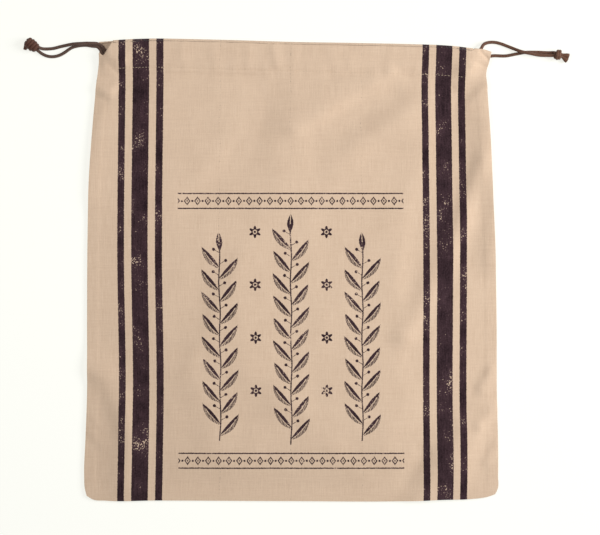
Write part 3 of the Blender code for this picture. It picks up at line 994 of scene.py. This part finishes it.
sprigPrint = {
    "apart": 62,
    "start": -138,
    "top": 34,
    "sideDrop": 16,  # of the two outer sprigs
    "period": 19.4,  # between the leaves of one side
    "pairs": 9,
    "leaf": 24,
    "leafWidth": 3.1,
    "fullness": 0.75,  # less is a blunter leaf
    "bow": 0.011,
    "bowShift": 1.5,
    "rib": 0.32,
    "ribEnd": 0.8,  # share of the leaf
    "hatch": {"slant": 0.9, "pitch": 1.7, "line": 0.26, "from": 0.3},
    "angle": 40,
    "stem": 0.55,
    "foot": 14.0,  # of bare stem below the lowest leaf
    "sway": (7.5, 0.5),  # a wave's length over 2 pi, and its height
    "stalk": (0.6, 0.28),  # slope, half width
    "berryAt": (5.2, 16.6),
    "berry": 1.35,
    "bud": (17, 2.7, 0.3),  # length, half width, half width of the slit in it
}
flowerPrint = {
    "at": 31,
    "start": -128,
    "period": 46,
    "count": 4,
    "size": 5.4,
    "petals": 6,
    "petalDepth": 0.24,  # share of the size
    "eye": (1.1, 1.9),
}


def stripeDistance(tree, x):
    each = (minus(tree, unsigned(tree, minus(tree, x, middle)), half) for middle, half in stripes)
    return smallest(tree, *each)


def bandDistance(tree, x, y):
    # two straight bands of lozenges and dots between rules
    size = bandPrint
    fromCentre = unsigned(tree, minus(tree, y, size["centre"]))
    level = unsigned(tree, minus(tree, fromCentre, size["apart"]))
    rule = minus(tree, unsigned(tree, minus(tree, level, size["ruleAt"])), size["rule"])
    half = size["pitch"] / 2
    across = calc(tree, "PINGPONG", x, half)
    wide, high = size["lozenge"]
    lozenge = plus(tree, times(tree, across, 1 / wide), times(tree, level, 1 / high))
    ringAt, ringHalf = size["ring"]
    ring = minus(tree, unsigned(tree, minus(tree, lozenge, ringAt)), ringHalf)
    ring = times(tree, ring, size["shareSize"])
    core = times(tree, minus(tree, lozenge, size["core"]), size["shareSize"])
    dot = minus(tree, longSide(tree, minus(tree, across, half), level), size["dot"])
    found = smallest(tree, rule, ring, core, dot)
    return biggest(tree, found, minus(tree, unsigned(tree, x), size["long"]))


def archShare(tree, distance, length):
    # from 0 to pi along a leaf or a bud
    share = biggest(tree, times(tree, distance, math.pi / length), 0.0)
    return smallest(tree, share, math.pi)


def leafDistance(tree, across, along):
    # one curved leaf with a midrib, and hatching on its lower half
    size = sprigPrint
    angle = math.radians(size["angle"])
    sine, cosine = math.sin(angle), math.cos(angle)
    out = plus(tree, times(tree, across, sine), times(tree, along, cosine))
    aside = minus(tree, times(tree, across, cosine), times(tree, along, sine))
    fromMiddle = minus(tree, out, size["leaf"] / 2)
    bow = times(tree, fromMiddle, fromMiddle, size["bow"])
    aside = plus(tree, minus(tree, aside, size["bowShift"]), bow)
    share = archShare(tree, out, size["leaf"])
    swell = calc(tree, "POWER", calc(tree, "SINE", share), size["fullness"])
    width = times(tree, swell, size["leafWidth"])
    blade = minus(tree, unsigned(tree, aside), width)
    rib = minus(tree, size["rib"], unsigned(tree, aside))
    rib = smallest(tree, rib, minus(tree, size["leaf"] * size["ribEnd"], out))
    hatching = size["hatch"]
    slanted = plus(tree, out, times(tree, aside, hatching["slant"]))
    hatch = calc(tree, "PINGPONG", slanted, hatching["pitch"] / 2)
    hatch = minus(tree, hatching["line"], hatch)
    hatch = smallest(tree, hatch, minus(tree, aside, hatching["from"]))
    return biggest(tree, blade, rib, hatch)


def sprigDistance(tree, x, y):
    # three upright sprigs whose leaves alternate, with berries between them
    size = sprigPrint
    which = calc(tree, "ROUND", times(tree, x, 1 / size["apart"]))
    aside = minus(tree, x, times(tree, which, size["apart"]))
    swayLength, swayHeight = size["sway"]
    sway = times(tree, calc(tree, "SINE", times(tree, y, 1 / swayLength)), swayHeight)
    aside = minus(tree, aside, sway)
    isSide = unsigned(tree, which)
    y = plus(tree, y, times(tree, isSide, size["sideDrop"]))
    low = plus(tree, size["start"], times(tree, isSide, size["period"]))
    distance = unsigned(tree, aside)
    rightShift = times(tree, calc(tree, "GREATER_THAN", aside, 0.0), size["period"] / 2)
    level = minus(tree, plus(tree, y, rightShift), low)
    cell = calc(tree, "FLOORED_MODULO", level, size["period"])
    pairs = times(tree, minus(tree, float(size["pairs"]), isSide), size["period"])
    whole = biggest(tree, minus(tree, 0.0, level), minus(tree, level, pairs))
    leaf = leafDistance(tree, distance, cell)
    berryX, berryY = size["berryAt"]
    fromBerry = longSide(tree, minus(tree, distance, berryX), minus(tree, cell, berryY))
    berry = minus(tree, fromBerry, size["berry"])
    slope, stalkHalf = size["stalk"]
    stalk = minus(tree, cell, times(tree, distance, slope), berryY - berryX * slope)
    stalk = minus(tree, unsigned(tree, stalk), stalkHalf)
    stalk = biggest(tree, stalk, minus(tree, distance, berryX))
    beside = biggest(tree, smallest(tree, leaf, berry, stalk), whole)
    stemLow = minus(tree, low, size["foot"], y)
    stemHigh = minus(tree, y, size["top"] + 6.0)
    stem = biggest(tree, minus(tree, distance, size["stem"]), stemLow, stemHigh)
    budLength, budWidth, slit = size["bud"]
    budShare = archShare(tree, minus(tree, y, size["top"] - 2.0), budLength)
    bud = minus(tree, distance, times(tree, calc(tree, "SINE", budShare), budWidth))
    bud = biggest(tree, bud, minus(tree, slit, distance))
    return biggest(tree, smallest(tree, beside, stem, bud), minus(tree, isSide, 1.5))


def flowerDistance(tree, x, y):
    # rosettes between the sprigs
    size = flowerPrint
    across = minus(tree, unsigned(tree, x), size["at"])
    level = minus(tree, y, size["start"])
    cell = minus(tree, calc(tree, "FLOORED_MODULO", level, size["period"]), size["period"] / 2)
    away = longSide(tree, across, cell)
    turn = calc(tree, "ARCTAN2", across, cell)
    petals = calc(tree, "COSINE", times(tree, turn, size["petals"]))
    share = size["petalDepth"]
    edge = plus(tree, size["size"] * (1 - share), times(tree, petals, size["size"] * share))
    eye, ring = size["eye"]
    flower = biggest(tree, minus(tree, away, edge), minus(tree, ring, away))
    found = smallest(tree, flower, minus(tree, away, eye))
    top = size["period"] * size["count"]
    return biggest(tree, found, minus(tree, 0.0, level), minus(tree, level, top))


def linenMaterial(name, printed):
    material, shader = newMaterial(name, linen["roughness"], linen["sheen"])
    tree = material.node_tree
    x, y = (times(tree, part, 1 / mm) for part in uvPlace(tree))

    # cloth: long streaks of slub both ways, and broad soft tones
    warp = noiseAt(tree, x, times(tree, y, 0.045), 1.35, 3)
    weft = noiseAt(tree, times(tree, x, 0.05), y, 1.35, 3, 7.0)
    mottle = noiseAt(tree, x, y, 0.9, 2, 3.0)
    broad = noiseAt(tree, x, y, 0.02, 2, 11.0)
    yarns = plus(tree, times(tree, warp, 0.42), times(tree, weft, 0.26))
    tone = plus(tree, yarns, times(tree, mottle, 0.2), times(tree, broad, 0.12))
    tone = spread(tree, tone, 0.3, 0.7)
    bare = blendColour(tree, tone, linear(linen["dark"]), linear(linen["light"]))

    # print: ragged at its edges and worn through in flecks
    ragged = minus(tree, noiseAt(tree, x, y, 1.1, 3, 5.0), 0.5)
    ragged = times(tree, ragged, linen["ragged"])
    distance = stripeDistance(tree, x)
    if printed:
        motifs = (motif(tree, x, y) for motif in (bandDistance, sprigDistance, flowerDistance))
        distance = smallest(tree, distance, *motifs)
    inked = within(tree, plus(tree, distance, ragged), linen["softEdge"])
    specks = noiseAt(tree, x, y, 0.8, 2, 9.0)
    patches = noiseAt(tree, x, y, 0.055, 2, 13.0)
    inPatches = times(tree, minus(tree, patches, 0.5), 0.8)
    alongYarns = times(tree, minus(tree, warp, 0.5), 0.12)
    gone = spread(tree, plus(tree, specks, inPatches, alongYarns), *linen["wear"])
    inked = times(tree, inked, minus(tree, 1.0, gone))
    inkTone = plus(tree, times(tree, patches, 0.4), times(tree, warp, 0.3))
    inkTone = spread(tree, plus(tree, inkTone, times(tree, specks, 0.3)), 0.38, 0.64)
    ink = blendColour(tree, inkTone, linear(linen["ink"]), linear(linen["wornInk"]))
    feed(tree, shader.inputs["Base Color"], blendColour(tree, inked, bare, ink))

    # weave
    over = calc(tree, "SINE", times(tree, x, math.pi / linen["yarn"]))
    under = calc(tree, "SINE", times(tree, y, math.pi / linen["yarn"]))
    weave = times(tree, times(tree, over, under), 0.5)
    height = plus(tree, weave, plus(tree, times(tree, warp, 1.4), weft))
    addRelief(tree, shader, height, 0.55, linen["weaveRelief"])
    return material


def backHeight(x, y):
    return np.full_like(x, floorLayer)


frontMesh = panelMesh("front", panels["front"], frontHeight)
frontCloth = addPiece("frontPanelCloth", frontMesh, linenMaterial("printedLinen", True))
backMesh = panelMesh("back", panels["back"], backHeight)
backCloth = addPiece("backPanelCloth", backMesh, linenMaterial("stripedLinen", False))
for piece in (frontCloth, backCloth):
    thickness = piece.modifiers.new("linenThickness", "SOLIDIFY")
    thickness.thickness = cloth["thickness"] * mm
    thickness.offset = 0
    thickness.use_even_offset = False
print("panels:", len(frontMesh.polygons), len(backMesh.polygons), "faces")

# The casing's row of stitches shows on the front, and on the underside of the back.
stitchRow = {
    "pitch": 2.8,
    "long": 2.0,
    "thread": 0.15,  # radius
    "sides": 8,
    "start": -150,
    "end": 150,
    "underside": 0.24,
    "flatter": 0.4,  # the thread's rise on the underside
    "rise": (-0.25, 0.05, 0.14, 0.05, -0.25),
    "colour": (206, 184, 158),
}


def stitchMesh(name, surface):
    rise = stitchRow["rise"]
    lines = []
    count = int((stitchRow["end"] - stitchRow["start"]) / stitchRow["pitch"])
    for i in range(count):
        middle = stitchRow["start"] + (i + 0.5) * stitchRow["pitch"]
        line = []
        for share, lift in zip(np.linspace(-0.5, 0.5, len(rise)), rise):
            x = middle + share * stitchRow["long"]
            y = float(topEdge(x) - stitchDepth(x))
            line.append((x, y, surface(x, y, lift)))
        lines.append(line)
    return tubeMesh(name, lines, stitchRow["thread"], stitchRow["sides"])


def onFront(x, y, lift):
    start = (x * mm, y * mm, 0.05)  # from well above the bag
    hit, place = evaluatedFront.ray_cast(start, (0, 0, -1))[:2]
    return place[2] / mm + lift if hit else frontCord


def onUnderside(x, y, lift):
    return stitchRow["underside"] - lift * stitchRow["flatter"]


evaluatedFront = frontCloth.evaluated_get(bpy.context.evaluated_depsgraph_get())
threadMaterial, threadShader = newMaterial("linenThread", 0.8, 0.2)
threadShader.inputs["Base Color"].default_value = linear(stitchRow["colour"])
stitches = {}
for name, surface in (("front", onFront), ("back", onUnderside)):
    rowName = name + "CasingStitches"
    stitches[name] = addPiece(rowName, stitchMesh(rowName, surface), threadMaterial)

for name, piece, under in (("front", frontCloth, ["back_panel"]), ("back", backCloth, [])):
    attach(piece, "root")
    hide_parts(name + "_panel")
    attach(stitches[name], "root")
print("stitches done")

# A plain pale floor and soft studio light.
studio = {
    "floor": 8.0,
    "floorColour": (0.3, 0.3, 0.29, 1),
    "floorGlow": 0.74,
    "glowColour": (1, 1, 0.93, 1),
    "world": 0.3,
}
floorShape = bmesh.new()
bmesh.ops.create_grid(floorShape, x_segments=1, y_segments=1, size=studio["floor"] / 2)
floorMaterial, floorShader = newMaterial("paleFloor", 0.9, 0.0)
floorShader.inputs["Base Color"].default_value = studio["floorColour"]
floorShader.inputs["Emission Color"].default_value = studio["glowColour"]
floorShader.inputs["Emission Strength"].default_value = studio["floorGlow"]
floor = addPiece("paleFloor", keptMesh(floorShape, "paleFloor"), floorMaterial)

world = bpy.data.worlds.new("studioAir")
world.use_nodes = True
world.node_tree.nodes["Background"].inputs["Color"].default_value = (1, 1, 1, 1)
world.node_tree.nodes["Background"].inputs["Strength"].default_value = studio["world"]
bpy.context.scene.world = world

lamps = (
    # name, azimuth from +X, elevation, distance, size, power
    ("rightSoftbox", 8, 32, 1.5, 0.8, 20.4),
    ("upperSoftbox", 145, 66, 0.8, 0.35, 1.6),
)
for name, azimuth, elevation, distance, size, power in lamps:
    data = bpy.data.lights.new(name, "AREA")
    data.shape = "DISK"
    data.size = size
    data.energy = power
    lamp = bpy.data.objects.new(name, data)
    turn, tilt = math.radians(azimuth), math.radians(elevation)
    way = Vector((math.cos(turn) * math.cos(tilt), math.sin(turn) * math.cos(tilt), math.sin(tilt)))
    lamp.location = way * distance
    lamp.rotation_euler = way.to_track_quat("Z", "Y").to_euler()
    bpy.context.scene.collection.objects.link(lamp)

bpy.context.scene.view_settings.view_transform = "Standard"
print("studio done")
